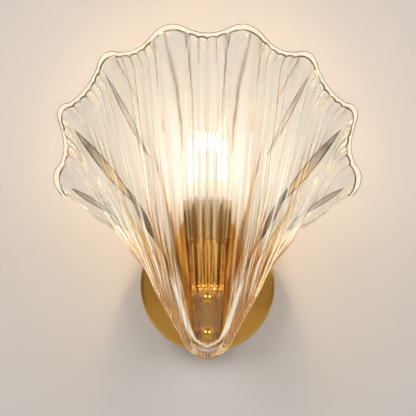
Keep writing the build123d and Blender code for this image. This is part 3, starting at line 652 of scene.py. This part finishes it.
RIDGE_PAINTED_SHADE = Vector((0.10, 0.16, 0.25))
RIDGE_EDGE = (0.55, 1.0)
RIDGE_STRENGTH = 0.6
RIDGE_FADE = (0.35, 0.6)
FINE_AMBER_REFLECTION = Vector((0.08, 0.34, 0.80))
FINE_EDGE = (-0.05, 0.3)
DEEP_PAINTED_SHADE = Vector((0.50, 0.70, 0.88))
DEEP_EDGE = (0.3, 0.55)
FINE_FADE = (0.2, 0.4)
FINE_THINS = (0.45, 0.8)
FINE_SHARE_HIGH = 0.14
FINE_SHARE_MIDDLE = 0.5
FINE_MIDDLE_ANGLES = (10, 24)


def without(kept, tint, share):
    """What is kept of a colour when a share of a tint is taken from it."""
    return kept * (Vector((1, 1, 1)) - tint * share)


def along_painted_streaks(kept, place):
    """What the long painted streaks keep of a colour."""
    for path, colours in STREAK_PATHS:
        away, i, u = nearest(path, place)
        kept = without(kept, colours[i].lerp(colours[i + 1], u), 1 - fade(away, *STREAK_EDGE))
    return kept


def along_ridges(kept, angle, t):
    """What the painted shade along the edges of the flutes keeps of a colour."""
    start, end, flutes = rib_at(angle)
    if not flutes:
        return kept
    across = (flutes * (angle - start) / (end - start)) % 1.0
    crisp = fade(abs(2 * across - 1), *RIDGE_EDGE) * (RIDGE_STRENGTH + drawn_noise(angle, t, RIDGE_NOISE))
    return without(kept, RIDGE_PAINTED_SHADE, crisp * fade(t, *RIDGE_FADE))


def along_fine_lines(kept, angle, t):
    """What the painted fine lines keep of a colour: painted amber reflections, and painted brown shade in the
    deep ones; most of them, and all the deep ones, are low down.
    """
    fine = drawn_noise(angle, t, FINE_LINE_NOISE)
    low = 1 - fade(t, *FINE_THINS)
    aside = fade(abs(angle), *FINE_MIDDLE_ANGLES)
    share = FINE_SHARE_HIGH + (1 - FINE_SHARE_HIGH) * low
    share *= fade(t, *FINE_FADE) * (FINE_SHARE_MIDDLE + (1 - FINE_SHARE_MIDDLE) * aside)
    kept = without(kept, FINE_AMBER_REFLECTION, fade(fine, *FINE_EDGE) * share)
    return without(kept, DEEP_PAINTED_SHADE, fade(fine, *DEEP_EDGE) * share * low)


def painted_streak_colour(angle, t, point):
    """The colour that the painted streaks, shade and reflections leave at one point of the room side, squared
    because the shader takes its square root.
    """
    kept = along_painted_streaks(Vector((1, 1, 1)), seen(point))
    kept = along_ridges(kept, angle, t)
    kept = along_fine_lines(kept, angle, t)
    return kept * kept


# %% Where light is painted on the glass
# Painted light lies round the bulb, in a patch on each side of the bulb, in highlight lines
# low on the fan, and in a white band, a painted reflection, on each side of the plate.
PAINTED_WHITE_BAND = ((29.0, 0.53, 0.5), (26.0, 0.495, 1.2), (23.0, 0.44, 1.7), (20.5, 0.39, 2.2),
              (18.0, 0.335, 2.4), (11.5, 0.29, 1.0), (0.5, 0.27, 0.9))
BAND_PATH = flat_path(PAINTED_WHITE_BAND)
BAND_SHARE = 0.62
BAND_EDGE = (0.4, 1.2)
BAR_EDGE = (-0.35, 0.35)
SHINE_HEIGHT = 102.0 * MM
SHINE_REACH = 60.0 * MM
SHINE_TALL = 1.15
SHINE_FALL = 1.6
SHINE_SHARE = 0.3
SHINE_BAR_SHARE = 0.65
SHINE_FADE = (0.56, 0.68)
BESIDE_ASIDE = 23.0 * MM
BESIDE_WIDE = 7.0 * MM
BESIDE_HEIGHT = 103.0 * MM
BESIDE_TALL = 30.0 * MM
BESIDE_SHARE = 0.34
BESIDE_BAR_SHARE = 0.51
LOW_LINE_SHARE = 0.8
LOW_LINE_EDGE = (0.18, 0.36)
LOW_LINE_FADE = (0.36, 0.5)
LOW_LINE_ENDS = (0.6, 0.84)
LOW_LINE_ANGLES = (12, 26)
LOW_LINE_LAST_ANGLES = (70, 85)
MOST_SHINE = 0.92
SHINE_ON_CLEAR = (0.05, 0.75)   # green that the streaks keep: little shines where they are dark


def shine_round_bulb(fine, point):
    """Painted light caught in bars round the bulb, and in a patch on each side of it."""
    bars = fade(fine, *BAR_EDGE)
    away = Vector((point.x, (point.z - SHINE_HEIGHT) / SHINE_TALL)).length / SHINE_REACH
    aside = (abs(point.x) - BESIDE_ASIDE) / BESIDE_WIDE
    above = (point.z - BESIDE_HEIGHT) / BESIDE_TALL
    return (exp(-away ** SHINE_FALL) * (SHINE_SHARE + SHINE_BAR_SHARE * bars)
            + exp(-aside ** 2 - above ** 2) * (BESIDE_SHARE + BESIDE_BAR_SHARE * bars))


def shine_low_down(fine, angle, t):
    """Painted bright lines low on the fan, on both sides of its middle."""
    side = fade(abs(angle), *LOW_LINE_ANGLES) * (1 - fade(abs(angle), *LOW_LINE_LAST_ANGLES))
    height = fade(t, *LOW_LINE_FADE) * (1 - fade(t, *LOW_LINE_ENDS))
    return side * height * fade(fine, *LOW_LINE_EDGE)


def painted_caught_light(angle, t, point):
    """How far one point of the room side shines with painted light: the bulb's glow, highlight lines and a
    white reflection.
    """
    fine = drawn_noise(angle, t, SHINE_NOISE)
    away, _, _ = nearest(BAND_PATH, seen(point))
    shine = shine_round_bulb(fine, point) * fade(t, *SHINE_FADE)
    shine += LOW_LINE_SHARE * shine_low_down(fine, angle, t)
    shine += BAND_SHARE * (1 - fade(away, *BAND_EDGE))
    return min(MOST_SHINE, shine)


# %% The shell's mesh
GRID_HALF = 0.5                 # create_grid takes half the side of its square
ROWS = 96
LOBE_STEPS = 18
FLUTE_STEPS = 8
RIM_ROUND = 1.1 * MM
RIM_STEPS = 3
RIM_ROUND_STARTS = 0.85
RIM_GLOW_STARTS = 0.9
SHARP_EDGES = 32


def column_angles():
    """Angles of the grid's columns, with one on every crease."""
    angles = []
    for start, end, flutes in RIBS:
        steps = flutes * FLUTE_STEPS if flutes else LOBE_STEPS
        angles += [start + (end - start) * i / steps for i in range(steps)]
    return angles + [RIBS[-1][1]]


def bent_grid(bm, columns, side, way_up):
    """A flat grid bent to one skin of the glass; gives each point with its angle and way up."""
    last = len(columns) - 1
    points = []
    for vert in bmesh.ops.create_grid(bm, x_segments=last, y_segments=ROWS, size=GRID_HALF)["verts"]:
        angle = columns[round((vert.co.x + GRID_HALF) * last)]
        t = vert.co.y + GRID_HALF
        vert.co = glass_skin(angle, t, side)
        vert[way_up] = t
        points.append((vert, angle, t))
    return points


def shell_mesh():
    """Both skins of the glass, bridged round their edges, with the rim's edges rounded."""
    bm = bmesh.new()
    columns = column_angles()
    way_up = bm.verts.layers.float.new("way_up")
    shine = bm.verts.layers.float.new("shine")
    tint = bm.verts.layers.float_color.new("streaks")
    glow = bm.faces.layers.float.new("edge_glow")
    line = bm.faces.layers.float.new("edge_line")
    room_side = bent_grid(bm, columns, -1, way_up)
    bent_grid(bm, columns, 1, way_up)
    # The room side stores its painted streaks and reflections, and its painted light.
    for vert, angle, t in room_side:
        colour = painted_streak_colour(angle, t, vert.co)
        vert[tint] = (*colour, 0.0)
        vert[shine] = painted_caught_light(angle, t, vert.co) * fade(colour.y, *SHINE_ON_CLEAR)
    border = [e for e in bm.edges if e.is_boundary]
    for face in bmesh.ops.bridge_loops(bm, edges=border)["faces"]:
        face[glow] = fade(min(vert[way_up] for vert in face.verts), RIM_GLOW_STARTS, 1.0)
    bmesh.ops.recalc_face_normals(bm, faces=bm.faces)
    rim = [e for e in border if min(vert[way_up] for vert in e.verts) > RIM_ROUND_STARTS]
    rounded = bmesh.ops.bevel(bm, geom=rim, offset=RIM_ROUND, offset_type="OFFSET", segments=RIM_STEPS,
                              profile=0.5, affect="EDGES", material=-1, clamp_overlap=False)
    # The rounded faces of the rim take the painted dark line in place of the painted glow.
    for face in rounded["faces"]:
        face[line] = face[glow]
        face[glow] = 0.0
    bmesh.ops.recalc_face_normals(bm, faces=bm.faces)
    return bm


finish_piece("fluted_shell", shell_mesh(), glass, "fitting", ["shell_glass"], SHARP_EDGES)

# %% [markdown]
# The wall is a plain backdrop behind the light and a pale floor lies far below.
# The wall only shows from the room, so that views from behind still see the light.

# %% Wall and floor
WALL_COLOUR = (0.632, 0.605, 0.592, 1)
FLOOR_COLOUR = (0.7, 0.68, 0.65, 1)
WALL_BACK = 0.4 * MM
FLOOR_DROP = 0.6
BACKDROP_SIDE = 6.0


def backdrop(name, place, turn, material):
    """One flat square of backdrop."""
    bm = bmesh.new()
    bmesh.ops.create_grid(bm, x_segments=1, y_segments=1, size=BACKDROP_SIDE / 2,
                          matrix=Matrix.Translation(place) @ Matrix.Rotation(turn, 4, "X"))
    mesh = bpy.data.meshes.new(name)
    bm.to_mesh(mesh)
    bm.free()
    plane = bpy.data.objects.new(name, mesh)
    scene.collection.objects.link(plane)
    mesh.materials.append(material)


wall_paint = new_material("wall_paint", Base_Color=WALL_COLOUR, Roughness=0.9)
tree, _ = inside(wall_paint)
facing = add_node(tree, "ShaderNodeNewGeometry")
set_surface(wall_paint, see_through(wall_paint, facing.outputs["Backfacing"]))
floor_paint = new_material("floor_paint", Base_Color=FLOOR_COLOUR, Roughness=0.9)

backdrop("backdrop_wall", (0, WALL_BACK, 0), pi / 2, wall_paint)
backdrop("floor", (0, 0, -FLOOR_DROP), 0.0, floor_paint)

# %% [markdown]
# Two large soft lamps stand on both sides of the camera, and a weak warm one behind it.
# Each is set down by name, place, width, height, power and colour.

# %% Lamps in the room
DAYLIGHT = (1, 0.99, 0.98)
WARM = (1, 0.88, 0.62)
LAMP_AIM = (0, 0, 0.06)
LAMPS = (
    ("key", (-1.2, -1.3, 1.0), 1.2, 1.2, 22.5, DAYLIGHT),
    ("fill", (1.2, -1.3, 0.8), 1.2, 1.2, 17.5, DAYLIGHT),
    ("front", (0, -2.6, 0.5), 0.5, 1.4, 1.55, WARM))


def soft_lamp(name, place, width, height, power, colour):
    """A soft lamp aimed at the light on the wall."""
    data = bpy.data.lights.new(name, "AREA")
    data.energy = power
    data.shape = "RECTANGLE"
    data.size = width
    data.size_y = height
    data.color = colour
    lamp = bpy.data.objects.new(name, data)
    scene.collection.objects.link(lamp)
    lamp.location = place
    lamp.rotation_euler = (Vector(LAMP_AIM) - Vector(place)).to_track_quat("-Z", "Y").to_euler()


for lamp in LAMPS:
    soft_lamp(*lamp)

# %% The light of the bulb
BULB_PLACE = (0, -64 * MM, 124 * MM)
BULB_POWER = 0.84
BULB_RADIUS = 12 * MM
BULB_COLOUR = (1.0, 0.63, 0.26)

glow = bpy.data.lights.new("bulb_glow", "POINT")
glow.energy = BULB_POWER
glow.shadow_soft_size = BULB_RADIUS
glow.color = BULB_COLOUR
glow_object = bpy.data.objects.new("bulb_glow", glow)
glow_object.location = BULB_PLACE
scene.collection.objects.link(glow_object)

# %% The light of the room
ROOM_COLOUR = (1.0, 0.93, 0.86, 1)
ROOM_STRENGTH = 0.1

world = bpy.data.worlds.new("studio")
scene.world = world
world.use_nodes = True
background = world.node_tree.nodes["Background"]
background.inputs["Color"].default_value = ROOM_COLOUR
background.inputs["Strength"].default_value = ROOM_STRENGTH

# %% [markdown]
# A ray through fluted glass crosses many faces, so it may bounce often.  The Standard
# view shows the picture's colours as they come, without a film's curve.

# %% Rays and picture
scene.view_settings.view_transform = "Standard"
scene.cycles.max_bounces = 48
scene.cycles.transmission_bounces = 48
scene.cycles.transparent_max_bounces = 24
scene.cycles.glossy_bounces = 8
